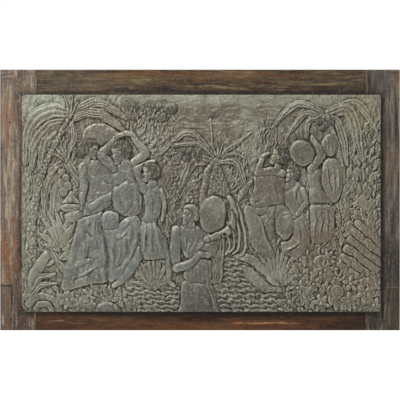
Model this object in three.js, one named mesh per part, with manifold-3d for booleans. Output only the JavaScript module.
// A cast metal relief plaque lying on a frame of four old boards, made to hang on a wall.
// Millimetres, +Z up, the carved front facing -Y and the wall side at y = 0.
// The origin is on the flat back of the top rail, at the middle of its length and width.

import * as THREE from 'three';
import { mergeVertices } from 'three/addons/utils/BufferGeometryUtils.js';
import Module from 'manifold-3d';

const wasm = await Module();
wasm.setup();

// Sizes of the plaque
const PLAQUE_WIDTH = 860;
const PLAQUE_HEIGHT = 520;
const PLATE_THICKNESS = 6;
const TOP_LEFT_WEAR = 7;
const LOW_LEFT_NICK_WIDTH = 9;
const LOW_LEFT_NICK_HEIGHT = 24;
const CORNER_WEAR = 2.5;

// Wood that shows around the plaque
const LEFT_MARGIN = 53;
const RIGHT_MARGIN = 47;
const TOP_MARGIN = 61;
const BOTTOM_MARGIN = 45;

// Sizes of the boards
const BOARD_THICKNESS = 28;
const LEFT_STILE_WIDTH = 88;
const RIGHT_STILE_WIDTH = 84;
const TOP_RAIL_WIDTH = 86;
const BOTTOM_RAIL_WIDTH = 86;
const ARRIS = 1.2;

// Blind mortise and tenon at each corner
const TENON_LENGTH = 34;
const TENON_THICKNESS = 9;
const TENON_SHOULDER = 14;
const CLEARANCE = 0.3;

// Shallow beds where fittings once sat on the lower outer corners, and a nail hole
const BED_DEPTH = 1.6;
const LEFT_BED_WIDTH = 27;
const LEFT_BED_HEIGHT = 108;
const RIGHT_BED_WIDTH = 31;
const RIGHT_BED_HEIGHT = 102;
const RIGHT_BED_CORNER = 9;
const NAIL_HOLE_RADIUS = 1.8;
const NAIL_HOLE_DEPTH = 9;
const NAIL_HOLE_FROM_EDGE = 24;
const NAIL_HOLE_FROM_TOP = 127;

// Heights of the carving above the plate, from the sky to the nearest forms
const SKY_LAYER = 2.2;
const FAR_LAYER = 3.6;
const LEAF_LAYER = 4.8;
const BODY_LAYER = 6.8;
const LIMB_LAYER = 8.6;
const NEAR_LAYER = 10.4;
const ROOT_DEPTH = 3;
const EDGE_DEPTH = 0.7;
const FOLD_HEIGHT = 1.8;
const ROUNDING = 2.4;
const SEAM_WELD = 1e-5;

// The carving is laid out on a sheet of squares, counted from the plaque's lower left corner
const SHEET_COLUMNS = 360;
const SHEET_ROWS = 217;
const COLUMN = PLAQUE_WIDTH / SHEET_COLUMNS;
const ROW = PLAQUE_HEIGHT / SHEET_ROWS;

const FRAME_WIDTH = LEFT_MARGIN + PLAQUE_WIDTH + RIGHT_MARGIN;
const FRAME_HEIGHT = TOP_MARGIN + PLAQUE_HEIGHT + BOTTOM_MARGIN;
const FRAME_LEFT = -FRAME_WIDTH / 2;
const FRAME_TOP = TOP_RAIL_WIDTH / 2;
const FRAME_BOTTOM = FRAME_TOP - FRAME_HEIGHT;

const BRONZE = new THREE.MeshStandardMaterial({ color: 0x73706a, roughness: 0.62, metalness: 0.55 });
const PALE_BOARD = new THREE.MeshStandardMaterial({ color: 0x6f5c4c, roughness: 0.75, metalness: 0 });
const DARK_BOARD = new THREE.MeshStandardMaterial({ color: 0x4c3b30, roughness: 0.75, metalness: 0 });

// Solids and geometries

function solidOf(geometry) {
  const bare = geometry.clone();
  bare.deleteAttribute('normal');
  bare.deleteAttribute('uv');
  const merged = mergeVertices(bare, SEAM_WELD);
  const vertProperties = new Float32Array(merged.attributes.position.array);
  const triVerts = new Uint32Array(merged.index.array);
  return new wasm.Manifold(new wasm.Mesh({ numProp: 3, vertProperties, triVerts }));
}

function geometryOf(solid) {
  const mesh = solid.getMesh();
  const geometry = new THREE.BufferGeometry();
  const points = new Float32Array(mesh.numVert * 3);
  for (let index = 0; index < mesh.numVert; index += 1) {
    for (let axis = 0; axis < 3; axis += 1) {
      points[index * 3 + axis] = mesh.vertProperties[index * mesh.numProp + axis];
    }
  }
  geometry.setAttribute('position', new THREE.BufferAttribute(points, 3));
  geometry.setIndex(new THREE.BufferAttribute(new Uint32Array(mesh.triVerts), 1));
  const flat = geometry.toNonIndexed();
  flat.computeVertexNormals();
  return flat;
}

function joined(solids) {
  let round = solids;
  while (round.length > 1) {
    const next = [];
    for (let index = 0; index < round.length; index += 2) {
      const pair = round[index + 1];
      next.push(pair ? round[index].add(pair) : round[index]);
    }
    round = next;
  }
  return round[0];
}

function closedBody(rings) {
  const count = rings[0].length;
  const positions = rings.flat().flatMap((point) => [point.x, point.y, point.z]);
  const indices = [];
  for (let ring = 0; ring + 1 < rings.length; ring += 1) {
    for (let side = 0; side < count; side += 1) {
      const next = (side + 1) % count;
      const a = ring * count + side;
      const b = ring * count + next;
      indices.push(a, b, b + count, a, b + count, a + count);
    }
  }
  const last = (rings.length - 1) * count;
  for (let side = 1; side + 1 < count; side += 1) {
    indices.push(0, side + 1, side);
    indices.push(last, last + side, last + side + 1);
  }
  const geometry = new THREE.BufferGeometry();
  geometry.setAttribute('position', new THREE.Float32BufferAttribute(positions, 3));
  geometry.setIndex(indices);
  return geometry;
}

// Carved forms, in squares across the sheet and millimetres above the plate

const carving = [];

function carve(geometry) {
  geometry.scale(COLUMN, ROW, 1);
  geometry.translate(0, 0, PLATE_THICKNESS);
  carving.push(solidOf(geometry));
}

// Sections of a strip, from side to side: a place across in half widths, and a share of its height
const RIDGE = [[-1, null], [0, 1], [1, null]];
const ARCH = [[-1.1, null], [-0.55, 1], [0.55, 1], [1.1, null]];

// A strip follows a line of stations, each with a place, a half width and a height
function strip(stations, section, floor) {
  const rings = stations.map((station, index) => {
    const before = stations[Math.max(index - 1, 0)];
    const after = stations[Math.min(index + 1, stations.length - 1)];
    const along = new THREE.Vector2(after.u - before.u, after.v - before.v).normalize();
    return section.map(([across, rise]) => new THREE.Vector3(
      station.u + along.y * across * station.half,
      station.v - along.x * across * station.half,
      rise === null ? floor : rise * station.top,
    ));
  });
  carve(closedBody(rings));
}

const LIMB_END_REACH = 0.85;
const LIMB_END_WIDTH = 0.5;
const LIMB_END_HEIGHT = 0.78;

// A limb is an arched strip between two places, each with a half width, and rounds off past both
function limb(from, to, top) {
  const [u1, v1, half1] = from;
  const [u2, v2, half2] = to;
  const length = Math.hypot(u2 - u1, v2 - v1);
  const stepU = LIMB_END_REACH * (u2 - u1) / length;
  const stepV = LIMB_END_REACH * (v2 - v1) / length;
  const low = top * LIMB_END_HEIGHT;
  strip([
    { u: u1 - stepU * half1, v: v1 - stepV * half1, half: half1 * LIMB_END_WIDTH, top: low },
    { u: u1, v: v1, half: half1, top },
    { u: u2, v: v2, half: half2, top },
    { u: u2 + stepU * half2, v: v2 + stepV * half2, half: half2 * LIMB_END_WIDTH, top: low },
  ], ARCH, -ROOT_DEPTH);
}

function limbs(joints, top) {
  for (let index = 0; index + 1 < joints.length; index += 1) {
    limb(joints[index], joints[index + 1], top);
  }
}

const DOME_LEVELS = 4;

function dome(u, v, halfWidth, halfHeight, turn, top, sides = 8) {
  const geometry = new THREE.SphereGeometry(1, sides, DOME_LEVELS);
  geometry.rotateX(Math.PI / 2);
  geometry.scale(halfWidth, halfHeight, top);
  geometry.rotateZ(THREE.MathUtils.degToRad(turn));
  geometry.translate(u, v, 0);
  carve(geometry);
}

const BEVEL_SLOPE = 0.8;

function panel(outline, top, rounding = ROUNDING) {
  const shape = new THREE.Shape(outline.map(([u, v]) => new THREE.Vector2(u, v)));
  const geometry = new THREE.ExtrudeGeometry(shape, {
    depth: ROOT_DEPTH + top - 2 * rounding,
    bevelEnabled: true,
    bevelThickness: rounding,
    bevelSize: rounding * BEVEL_SLOPE,
    bevelOffset: -rounding * BEVEL_SLOPE,
    bevelSegments: 1,
  });
  geometry.translate(0, 0, rounding - ROOT_DEPTH);
  carve(geometry);
}

// A blade is a leaf or a ripple: long, narrow, and highest in the middle
function blade(from, to, half, top) {
  const [u1, v1] = from;
  const [u2, v2] = to;
  const geometry = new THREE.ConeGeometry(1, 1, 4, 1);
  geometry.rotateX(Math.PI / 2);
  geometry.scale(Math.hypot(u2 - u1, v2 - v1) / 2, half, top + EDGE_DEPTH);
  geometry.rotateZ(Math.atan2(v2 - v1, u2 - u1));
  geometry.translate((u1 + u2) / 2, (v1 + v2) / 2, (top - EDGE_DEPTH) / 2);
  carve(geometry);
}

const FOLD_START_WIDTH = 0.6;

// A crease is a fold of cloth that stands on a body of the given height
function crease(from, to, half, body) {
  const [u1, v1] = from;
  const [u2, v2] = to;
  const top = body + FOLD_HEIGHT;
  strip([
    { u: u1, v: v1, half: half * FOLD_START_WIDTH, top },
    { u: u2, v: v2, half, top },
  ], RIDGE, body - EDGE_DEPTH);
}

const FROND_START = 0.1;
const FROND_GAP_WIDTH = 0.68;
const FROND_LOW = 0.7;
const FAN_START = 0.24;
const ARC_STEPS = 5;

// A frond bends from the crown to its tip, with a rib and a saw edge of leaflets
function frond(from, bend, to, half, top, leaflets = 3) {
  const curve = new THREE.QuadraticBezierCurve(
    new THREE.Vector2(...from), new THREE.Vector2(...bend), new THREE.Vector2(...to));
  const steps = leaflets * 2;
  const stations = [];
  for (let step = 0; step <= steps; step += 1) {
    const share = FROND_START + (1 - FROND_START) * step / steps;
    const point = curve.getPoint(share);
    const swell = Math.sin(Math.PI * (0.12 + 0.84 * share)) ** 0.7;
    const tooth = step % 2 ? 1 : FROND_GAP_WIDTH;
    const rise = top * (FROND_LOW + (1 - FROND_LOW) * swell);
    stations.push({ u: point.x, v: point.y, half: half * swell * tooth, top: rise });
  }
  strip(stations, RIDGE, -EDGE_DEPTH);
}

function fan(base, tips, half, top) {
  tips.forEach((tip) => {
    const start = [base[0] + (tip[0] - base[0]) * FAN_START, base[1] + (tip[1] - base[1]) * FAN_START];
    blade(start, tip, half, top);
  });
}

function arcRidge(centre, radius, fromDegrees, toDegrees, half, top) {
  const stations = [];
  for (let step = 0; step <= ARC_STEPS; step += 1) {
    const angle = THREE.MathUtils.degToRad(fromDegrees + (toDegrees - fromDegrees) * step / ARC_STEPS);
    stations.push({
      u: centre[0] + radius * Math.cos(angle), v: centre[1] + radius * Math.sin(angle), half, top,
    });
  }
  strip(stations, RIDGE, -EDGE_DEPTH);
}

// A head: hair or scarf behind, and a face turned to one side, -1 left or 1 right
function head(u, v, halfWidth, halfHeight, facing, top) {
  dome(u - facing * halfWidth * 0.25, v + halfHeight * 0.25, halfWidth * 0.95, halfHeight * 0.85, 0, top);
  dome(u + facing * halfWidth * 0.28, v - halfHeight * 0.12, halfWidth * 0.66, halfHeight * 0.8, 0,
    top * 1.06);
  blade([u + facing * halfWidth * 0.55, v + halfHeight * 0.3],
    [u + facing * halfWidth * 0.95, v - halfHeight * 0.2], halfWidth * 0.2, top * 1.12);
  limb([u - facing * halfWidth * 0.1, v - halfHeight * 0.7, halfWidth * 0.42],
    [u - facing * halfWidth * 0.15, v - halfHeight * 1.4, halfWidth * 0.5], top * 0.8);
}

// Palms

const TRUNK_RINGS = 14;
const TRUNK_HALF = 5.6;
const TRUNK_TAPER = 0.1;

function leftPalm() {
  const trunk = new THREE.SplineCurve([[8, 50], [10, 86], [14, 114], [21, 140], [31, 163], [46, 190]]
    .map(([u, v]) => new THREE.Vector2(u, v)));
  strip(trunk.getPoints(TRUNK_RINGS).map((point, ring) => ({
    u: point.x,
    v: point.y,
    half: (TRUNK_HALF - ring * TRUNK_TAPER) * (ring % 2 ? 1 : 0.78),
    top: LEAF_LAYER * (ring % 2 ? 1.35 : 0.95),
  })), ARCH, -ROOT_DEPTH);
  frond([48, 194], [8, 207], [4, 146], 8, LEAF_LAYER, 4);
  frond([46, 190], [16, 182], [11, 144], 4.6, LEAF_LAYER);
  frond([46, 187], [26, 176], [20, 142], 4.6, LEAF_LAYER);
  frond([50, 196], [74, 226], [105, 188], 3.8, LEAF_LAYER);
  frond([50, 194], [74, 213], [106, 184], 3.4, LEAF_LAYER);
  frond([51, 192], [76, 203], [103, 180], 3.2, LEAF_LAYER);
  frond([50, 190], [52, 172], [46, 154], 3.4, FAR_LAYER);
  blade([48, 193], [44, 216], 2.4, LEAF_LAYER);
  blade([49, 193], [52, 213], 2.2, LEAF_LAYER);
}

function smallPalm() {
  frond([45, 150], [27, 150], [24, 104], 4, LEAF_LAYER);
  frond([45, 149], [35, 142], [32, 98], 3.6, LEAF_LAYER);
  frond([46, 150], [55, 148], [58, 122], 3.6, LEAF_LAYER);
  fan([45, 150], [[28, 163], [33, 168], [40, 170], [46, 170]], 2.6, LEAF_LAYER);
  [[40, 140], [45, 136], [41, 131], [46, 127], [42, 122]].forEach(([u, v]) => {
    dome(u, v, 3.2, 4, 0, LEAF_LAYER + 0.8, 6);
  });
}

function centrePalm() {
  limbs([[195, 151, 2.6], [184, 138, 3], [182, 108, 3.2]], FAR_LAYER);
  frond([196, 153], [168, 188], [138, 158], 4.6, LEAF_LAYER, 4);
  frond([195, 151], [171, 152], [157, 120], 6.4, LEAF_LAYER, 4);
  frond([197, 154], [212, 172], [228, 178], 4, LEAF_LAYER);
  frond([198, 152], [211, 160], [222, 152], 3, LEAF_LAYER);
  frond([198, 151], [218, 152], [227, 120], 4.2, LEAF_LAYER);
  blade([196, 153], [195, 171], 2, LEAF_LAYER);
  blade([197, 153], [200, 169], 2, LEAF_LAYER);
  [[158, 157], [163, 154], [168, 158], [174, 156]].forEach(([u, v]) => {
    dome(u, v, 3.4, 3.6, 0, FAR_LAYER + 0.6, 6);
  });
}

function rightPalm() {
  frond([303, 199], [272, 224], [251, 186], 4.6, LEAF_LAYER, 4);
  frond([303, 196], [281, 202], [265, 176], 4.4, FAR_LAYER);
  frond([307, 200], [341, 222], [357, 182], 5, LEAF_LAYER, 4);
  frond([307, 198], [333, 208], [340, 160], 6, LEAF_LAYER, 4);
  frond([307, 195], [322, 188], [325, 144], 4.6, LEAF_LAYER, 4);
  blade([305, 196], [303, 208], 2.4, LEAF_LAYER);
  [[299, 190], [304, 187], [310, 191]].forEach(([u, v]) => {
    dome(u, v, 3.2, 2.8, 0, LEAF_LAYER + 1, 6);
  });
}

// Trees, hut, mast and cloud in the distance
function distance() {
  limbs([[106, 186, 1.6], [109, 202, 1.4]], FAR_LAYER);
  limbs([[137, 184, 1.6], [139, 200, 1.4]], FAR_LAYER);
  [[109, 205, 8], [118, 205, 7], [132, 205, 8], [146, 205, 9], [139, 193, 9]].forEach(([u, v, half]) => {
    dome(u, v, half, half * 0.66, 0, FAR_LAYER);
  });
  panel([[160, 176], [178, 176], [178, 184], [160, 184]], SKY_LAYER, 0.8);
  blade([155, 185], [183, 185], 1.6, SKY_LAYER + 1);
  limbs([[190, 162, 1.1], [190, 197, 1]], SKY_LAYER + 0.8);
  panel([[190, 194], [197, 196], [203, 199], [190, 201]], SKY_LAYER, 0.6);
  arcRidge([207, 189], 2.6, 20, 320, 1, SKY_LAYER);
  blade([209, 187], [225, 188], 1.6, SKY_LAYER);
}

// People

function womanWithBundle() {
  dome(75, 180, 19, 9.5, -8, BODY_LAYER, 12);
  head(66, 163, 9, 10, 1, LIMB_LAYER);
  panel([[58, 147], [70, 152], [86, 147], [92, 138], [92, 114], [84, 96], [64, 94], [61, 118]], BODY_LAYER);
  limbs([[61, 144, 4.8], [62, 121, 4.2], [58, 99, 3]], LIMB_LAYER);
  limbs([[87, 138, 4.8], [88, 113, 4.4], [69, 104, 3.2]], LIMB_LAYER);
  dome(75, 128, 4, 5, 0, BODY_LAYER + 1.8);
  panel([
    [60, 94], [83, 98], [83, 76], [87, 57], [87, 30], [63, 25], [40, 22], [41, 34], [47, 50], [55, 70],
  ], BODY_LAYER);
  crease([50, 34], [80, 49], 1.8, BODY_LAYER);
  crease([62, 54], [79, 56], 1.6, BODY_LAYER);
  crease([63, 79], [75, 75], 2, BODY_LAYER);
  crease([64, 90], [58, 60], 1.6, BODY_LAYER);
  dome(50, 99, 8, 8, 0, LIMB_LAYER - 0.6, 10);
  panel([[40, 107], [45, 117], [49, 120], [55, 116], [59, 106]], LIMB_LAYER, 1.4);
}

function womanWithRaisedArms() {
  head(100, 160, 10, 12, -1, LIMB_LAYER);
  panel([
    [90, 141], [100, 147], [112, 147], [115, 132], [111, 112], [112, 97], [91, 97], [90, 122],
  ], BODY_LAYER);
  limbs([[91, 140, 5], [80, 159, 4.4], [95, 175, 3.4]], LIMB_LAYER);
  limbs([[112, 146, 5], [126, 158, 4.4], [112, 175, 3.4]], LIMB_LAYER);
  limbs([[95, 176, 3], [112, 176, 3]], LIMB_LAYER);
  dome(101, 114, 10, 15, -4, LIMB_LAYER);
  panel([
    [84, 98], [112, 98], [119, 74], [123, 57], [117, 48], [106, 39], [98, 33], [88, 32], [88, 56], [84, 76],
  ], BODY_LAYER);
  dome(87, 91, 9.5, 9, 0, LIMB_LAYER);
  crease([98, 78], [94, 42], 1.8, BODY_LAYER);
  crease([106, 92], [109, 48], 1.8, BODY_LAYER);
}

function girl() {
  head(129, 140, 9, 10.5, -1, LIMB_LAYER);
  panel([[124, 127], [139, 127], [139, 107], [137, 92], [126, 92], [121, 112]], BODY_LAYER);
  limbs([[125, 122, 4], [114, 142, 3.6], [134, 153, 2.8]], LIMB_LAYER);
  limbs([[139, 122, 3.2], [143, 104, 3], [141, 90, 2.4]], BODY_LAYER + 0.6);
  panel([
    [123, 94], [137, 94], [145, 77], [151, 56], [144, 54], [124, 52], [120, 62], [120, 77],
  ], BODY_LAYER);
  limbs([[123, 56, 4.4], [115, 46, 4], [107, 30, 3], [98, 26, 2.4]], BODY_LAYER);
  limbs([[147, 56, 3.2], [148, 41, 2.8], [147, 29, 2.4], [154, 26, 1.8]], BODY_LAYER);
  crease([128, 88], [126, 59], 1.6, BODY_LAYER);
  crease([134, 88], [140, 60], 1.6, BODY_LAYER);
}

function womanWithBasket() {
  const heap = [[190, 119], [203, 119], [197, 126], [193, 134], [201, 134], [197, 143]];
  heap.forEach(([u, v]) => dome(u, v, 5, 6, 0, BODY_LAYER));
  dome(192, 97, 14.5, 19, 0, NEAR_LAYER - 0.6, 14);
  arcRidge([192, 97], 13.6, -50, 70, 1.3, NEAR_LAYER - 1.6);
  head(168, 95, 9, 10.5, -1, LIMB_LAYER);
  panel([[154, 83], [166, 87], [186, 80], [194, 66], [190, 50], [165, 50], [160, 62]], BODY_LAYER);
  limbs([[156, 79, 6], [156, 47, 5], [178, 55, 3.6]], NEAR_LAYER);
  dome(182, 61, 4.4, 3.4, 40, NEAR_LAYER);
  limbs([[208, 112, 4], [214, 92, 4.6], [203, 78, 4.2], [188, 74, 3.4]], NEAR_LAYER);
  panel([[165, 53], [190, 53], [190, 31], [164, 31]], BODY_LAYER + 0.6);
  panel([[161, 29], [188, 29], [196, 3], [192, -3], [160, -3]], BODY_LAYER + 1.2);
  for (let fold = 0; fold < 3; fold += 1) {
    crease([170 + fold * 7, 51], [169 + fold * 7, 33], 1.6, BODY_LAYER + 0.6);
  }
  crease([178, 80], [173, 64], 1.8, BODY_LAYER);
  for (let strand = 0; strand < 4; strand += 1) {
    blade([194 + strand * 4.6, 74], [193 + strand * 3.4, 34], 1.8, LEAF_LAYER);
  }
}

// Shawl that hangs behind the basket, in nested loops
function shawl() {
  limbs([[216, 108, 2], [221, 86, 2.2], [225, 60, 2]], BODY_LAYER);
  arcRidge([216, 68], 9, 180, 360, 1.4, BODY_LAYER);
  arcRidge([216, 68], 5.4, 180, 360, 1.3, BODY_LAYER);
  blade([210, 96], [209, 64], 2, BODY_LAYER);
}

function womanAtRight() {
  head(254, 154, 9, 10, -1, BODY_LAYER);
  panel([[234, 144], [262, 142], [262, 108], [231, 110]], BODY_LAYER - 1);
  limbs([[260, 139, 4.4], [238, 139, 4], [242, 156, 3]], BODY_LAYER + 1);
  panel([[231, 110], [262, 108], [259, 82], [252, 48], [240, 50], [234, 82]], BODY_LAYER - 1);
  crease([236, 98], [244, 60], 1.8, BODY_LAYER - 1);
  crease([245, 104], [250, 60], 1.6, BODY_LAYER - 1);
  blade([216, 112], [231, 130], 3.4, LEAF_LAYER);
}

function childWithJar() {
  head(271, 134, 7, 8, -1, BODY_LAYER);
  panel([[264, 124], [278, 124], [282, 104], [278, 92], [266, 92]], BODY_LAYER - 1);
  panel([[266, 94], [278, 94], [284, 60], [276, 48], [262, 52]], BODY_LAYER - 1);
  dome(262, 89, 8, 16, 0, LIMB_LAYER, 10);
  limbs([[278, 120, 3.2], [282, 102, 3], [268, 94, 2.4]], LIMB_LAYER);
  crease([273, 90], [279, 60], 1.6, BODY_LAYER - 1);
}

const TRAY_SIDES = 16;

function womanWithTray() {
  dome(309, 165, 7.5, 9, 0, BODY_LAYER);
  panel([[283, 141], [303, 142], [309, 110], [288, 109]], BODY_LAYER);
  panel([[289, 107], [310, 107], [315, 72], [288, 70]], BODY_LAYER);
  for (let fold = 0; fold < 3; fold += 1) {
    crease([294 + fold * 6, 103], [293 + fold * 8, 75], 1.6, BODY_LAYER);
  }
  limbs([[288, 140, 4.4], [301, 156, 4], [280, 175, 3]], LIMB_LAYER);
  const tray = new THREE.CylinderGeometry(13.4, 14.6, 1, TRAY_SIDES);
  tray.rotateX(Math.PI / 2);
  tray.scale(1, 1, LIMB_LAYER + ROOT_DEPTH);
  tray.translate(281, 159, (LIMB_LAYER - ROOT_DEPTH) / 2);
  carve(tray);
  dome(312, 131, 10, 21, 6, LIMB_LAYER, 10);
}

// Plants, water and ground

function plants() {
  panel([[7, 20], [6, 42], [19, 59], [27, 61], [25, 46]], LEAF_LAYER, 1.2);
  frond([9, 22], [22, 42], [37, 40], 3.4, LEAF_LAYER);
  frond([9, 20], [24, 36], [37, 27], 3, LEAF_LAYER);
  arcRidge([21, -1], 17, 5, 140, 3, LEAF_LAYER);
  arcRidge([21, -1], 9, 5, 160, 2.6, LEAF_LAYER);
  fan([40, 60], [[22, 80], [23, 94], [30, 99], [37, 100], [45, 97], [52, 90], [57, 78], [24, 68]], 3.6,
    LEAF_LAYER);
  fan([133, 24], [[117, 28], [118, 38], [125, 45], [132, 51], [141, 49], [146, 40], [150, 32]], 2.6,
    LEAF_LAYER);
  fan([259, 28], [[238, 62], [246, 72], [254, 76], [262, 74], [270, 70], [277, 60], [281, 48]], 3,
    LEAF_LAYER);
  frond([216, 55], [240, 56], [253, 32], 3.8, BODY_LAYER, 4);
  frond([226, 40], [238, 26], [257, 25], 3, BODY_LAYER - 1);
  for (let log = 0; log < 5; log += 1) {
    limbs([[322 + log * 3.5, 50 + log * 8, 3.2], [352 + log * 1.5, 30 + log * 8.6, 3]], BODY_LAYER - 0.6);
  }
}

const SEED_STEP = 16807;
const SEED_RANGE = 2147483647;

function seeded(seed) {
  let state = seed;
  return () => {
    state = (state * SEED_STEP) % SEED_RANGE;
    return state / SEED_RANGE;
  };
}

function thicket() {
  const random = seeded(7);
  for (let row = 0; row < 5; row += 1) {
    for (let column = 0; column < 3; column += 1) {
      const u = 326 + column * 12 + random() * 4;
      const v = 82 + row * 16 + random() * 3;
      const lean = (random() - 0.5) * 12;
      blade([u, v], [u + lean, v + 11], 3.4, FAR_LAYER);
    }
  }
}

const PETALS = 5;
const PETAL_GAP_REACH = 0.42;

function rosette(u, v, half, start) {
  const geometry = new THREE.ConeGeometry(1, 1, PETALS * 2, 1);
  geometry.rotateX(Math.PI / 2);
  geometry.rotateZ(Math.PI / 2);
  const points = geometry.attributes.position;
  for (let index = 0; index < points.count; index += 1) {
    const angle = Math.atan2(points.getY(index), points.getX(index));
    const corner = Math.round(angle * PETALS / Math.PI);
    const reach = corner % 2 ? half * PETAL_GAP_REACH : half;
    points.setX(index, points.getX(index) * reach);
    points.setY(index, points.getY(index) * reach);
  }
  geometry.scale(1, 1, LEAF_LAYER + ROOT_DEPTH / 2);
  geometry.rotateZ(start);
  geometry.translate(u, v, (LEAF_LAYER - ROOT_DEPTH / 2) / 2);
  carve(geometry);
}

function groundPlants() {
  const random = seeded(19);
  for (let index = 0; index < 8; index += 1) {
    rosette(264 + index * 12, 9 + (index % 2) * 12 + random() * 3, 7.5, random() * 3);
  }
  for (let index = 0; index < 4; index += 1) {
    rosette(46 + index * 17, 6 + (index % 2) * 10, 7.5, random() * 3);
  }
  for (let index = 0; index < 4; index += 1) {
    rosette(288 + (index % 2) * 15, 34 + Math.floor(index / 2) * 15, 7, random() * 3);
  }
}

const RIPPLE_LENGTH = 15;
const RIPPLE_SHIFT = 5;
const RIPPLE_HALF = 1.9;

function water(fromU, toU, fromV, rows, spacing) {
  for (let row = 0; row < rows; row += 1) {
    const v = fromV + row * spacing;
    for (let u = fromU + (row % 2) * RIPPLE_SHIFT; u + RIPPLE_LENGTH < toU; u += RIPPLE_LENGTH + 1) {
      blade([u - 1, v], [u + RIPPLE_LENGTH + 1, v + 0.6], RIPPLE_HALF, FAR_LAYER);
    }
  }
}

function plateOutline() {
  const shape = new THREE.Shape();
  shape.moveTo(LOW_LEFT_NICK_WIDTH, 0);
  shape.lineTo(PLAQUE_WIDTH - CORNER_WEAR, 0);
  shape.lineTo(PLAQUE_WIDTH, CORNER_WEAR);
  shape.lineTo(PLAQUE_WIDTH, PLAQUE_HEIGHT - CORNER_WEAR);
  shape.lineTo(PLAQUE_WIDTH - CORNER_WEAR, PLAQUE_HEIGHT);
  shape.lineTo(TOP_LEFT_WEAR, PLAQUE_HEIGHT);
  shape.quadraticCurveTo(0, PLAQUE_HEIGHT, 0, PLAQUE_HEIGHT - TOP_LEFT_WEAR);
  shape.lineTo(0, LOW_LEFT_NICK_HEIGHT);
  shape.quadraticCurveTo(LOW_LEFT_NICK_WIDTH * 0.3, LOW_LEFT_NICK_HEIGHT * 0.3, LOW_LEFT_NICK_WIDTH, 0);
  return shape;
}

function plateBlock(depth) {
  return new THREE.ExtrudeGeometry(plateOutline(), { depth, bevelEnabled: false, curveSegments: 3 });
}

function reliefPlaque() {
  leftPalm();
  smallPalm();
  centrePalm();
  rightPalm();
  distance();
  womanWithBundle();
  womanWithRaisedArms();
  girl();
  womanWithBasket();
  shawl();
  womanAtRight();
  childWithJar();
  womanWithTray();
  plants();
  thicket();
  groundPlants();
  water(112, 160, 5, 4, 5.4);
  water(200, 250, 6, 8, 5.6);
  const relief = joined(carving).intersect(solidOf(plateBlock(PLATE_THICKNESS + NEAR_LAYER * 2)));
  const plate = solidOf(plateBlock(PLATE_THICKNESS));
  const mesh = new THREE.Mesh(geometryOf(plate.add(relief)), BRONZE);
  mesh.name = 'relief_plaque';
  mesh.rotation.x = Math.PI / 2;
  mesh.position.set(
    FRAME_LEFT + LEFT_MARGIN, -BOARD_THICKNESS - CLEARANCE, FRAME_BOTTOM + BOTTOM_MARGIN);
  return mesh;
}

// Boards, drawn from the front and extruded towards the wall

function boardBlock(left, bottom, width, height) {
  const shape = new THREE.Shape();
  shape.moveTo(left, bottom);
  shape.lineTo(left + width, bottom);
  shape.lineTo(left + width, bottom + height);
  shape.lineTo(left, bottom + height);
  shape.closePath();
  const geometry = new THREE.ExtrudeGeometry(shape, {
    depth: BOARD_THICKNESS - 2 * ARRIS,
    bevelEnabled: true,
    bevelThickness: ARRIS,
    bevelSize: ARRIS,
    bevelOffset: -ARRIS,
    bevelSegments: 1,
  });
  geometry.translate(0, 0, ARRIS);
  return geometry;
}

function box(left, bottom, back, width, height, depth) {
  const geometry = new THREE.BoxGeometry(width, height, depth);
  geometry.translate(left + width / 2, bottom + height / 2, back + depth / 2);
  return geometry;
}

const OPENING_LEFT = FRAME_LEFT + LEFT_STILE_WIDTH;
const OPENING_RIGHT = FRAME_LEFT + FRAME_WIDTH - RIGHT_STILE_WIDTH;

function tenon(left, railBottom, railWidth, grown) {
  return box(
    left - grown,
    railBottom + TENON_SHOULDER - grown,
    (BOARD_THICKNESS - TENON_THICKNESS) / 2 - grown,
    TENON_LENGTH + 2 * grown,
    railWidth - 2 * TENON_SHOULDER + 2 * grown,
    TENON_THICKNESS + 2 * grown,
  );
}

function rail(name, bottom, width, material) {
  const left = OPENING_LEFT + CLEARANCE;
  const right = OPENING_RIGHT - CLEARANCE;
  const block = solidOf(boardBlock(left, bottom, right - left, width))
    .add(solidOf(tenon(OPENING_LEFT - TENON_LENGTH + ARRIS * 2, bottom, width, 0)))
    .add(solidOf(tenon(OPENING_RIGHT - ARRIS * 2, bottom, width, 0)));
  return board(name, block, material);
}

function mortises(left) {
  return [[FRAME_TOP - TOP_RAIL_WIDTH, TOP_RAIL_WIDTH], [FRAME_BOTTOM, BOTTOM_RAIL_WIDTH]]
    .map(([bottom, width]) => solidOf(tenon(left, bottom, width, CLEARANCE)));
}

function board(name, solid, material) {
  const mesh = new THREE.Mesh(geometryOf(solid), material);
  mesh.name = name;
  mesh.rotation.x = Math.PI / 2;
  return mesh;
}

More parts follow.
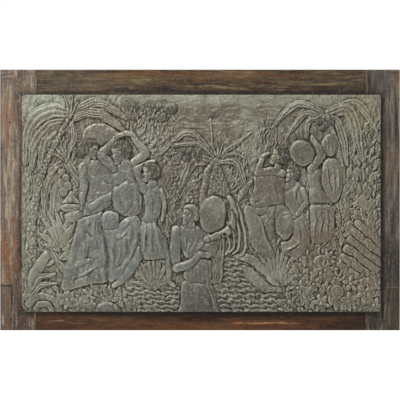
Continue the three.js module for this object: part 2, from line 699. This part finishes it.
function leftStile() {
  let block = solidOf(boardBlock(FRAME_LEFT, FRAME_BOTTOM, LEFT_STILE_WIDTH, FRAME_HEIGHT));
  mortises(OPENING_LEFT - TENON_LENGTH + ARRIS * 2).forEach((pocket) => {
    block = block.subtract(pocket);
  });
  const bed = box(FRAME_LEFT - 1, FRAME_BOTTOM - 1, BOARD_THICKNESS - BED_DEPTH,
    LEFT_BED_WIDTH + 1, LEFT_BED_HEIGHT + 1, BED_DEPTH + 1);
  const hole = new THREE.CylinderGeometry(NAIL_HOLE_RADIUS, NAIL_HOLE_RADIUS, NAIL_HOLE_DEPTH * 2, 12);
  hole.rotateX(Math.PI / 2);
  hole.translate(FRAME_LEFT + NAIL_HOLE_FROM_EDGE, FRAME_TOP - NAIL_HOLE_FROM_TOP, BOARD_THICKNESS);
  return board('left_stile', block.subtract(solidOf(bed)).subtract(solidOf(hole)), PALE_BOARD);
}

function rightStile() {
  const left = FRAME_LEFT + FRAME_WIDTH - RIGHT_STILE_WIDTH;
  let block = solidOf(boardBlock(left, FRAME_BOTTOM, RIGHT_STILE_WIDTH, FRAME_HEIGHT));
  mortises(OPENING_RIGHT - ARRIS * 2).forEach((pocket) => {
    block = block.subtract(pocket);
  });
  const edge = FRAME_LEFT + FRAME_WIDTH;
  const shape = new THREE.Shape();
  shape.moveTo(edge + 1, FRAME_BOTTOM - 1);
  shape.lineTo(edge + 1, FRAME_BOTTOM + RIGHT_BED_HEIGHT);
  shape.lineTo(edge - RIGHT_BED_WIDTH + RIGHT_BED_CORNER, FRAME_BOTTOM + RIGHT_BED_HEIGHT);
  shape.quadraticCurveTo(edge - RIGHT_BED_WIDTH, FRAME_BOTTOM + RIGHT_BED_HEIGHT,
    edge - RIGHT_BED_WIDTH, FRAME_BOTTOM + RIGHT_BED_HEIGHT - RIGHT_BED_CORNER);
  shape.lineTo(edge - RIGHT_BED_WIDTH, FRAME_BOTTOM - 1);
  const bed = new THREE.ExtrudeGeometry(shape, {
    depth: BED_DEPTH + 1,
    bevelEnabled: false,
    curveSegments: 4,
  });
  bed.translate(0, 0, BOARD_THICKNESS - BED_DEPTH);
  return board('right_stile', block.subtract(solidOf(bed)), DARK_BOARD);
}

const plaque = new THREE.Group();
plaque.add(leftStile());
plaque.add(rightStile());
plaque.add(rail('top_rail', FRAME_TOP - TOP_RAIL_WIDTH, TOP_RAIL_WIDTH, PALE_BOARD));
plaque.add(rail('bottom_rail', FRAME_BOTTOM, BOTTOM_RAIL_WIDTH, DARK_BOARD));
plaque.add(reliefPlaque());

export default plaque;
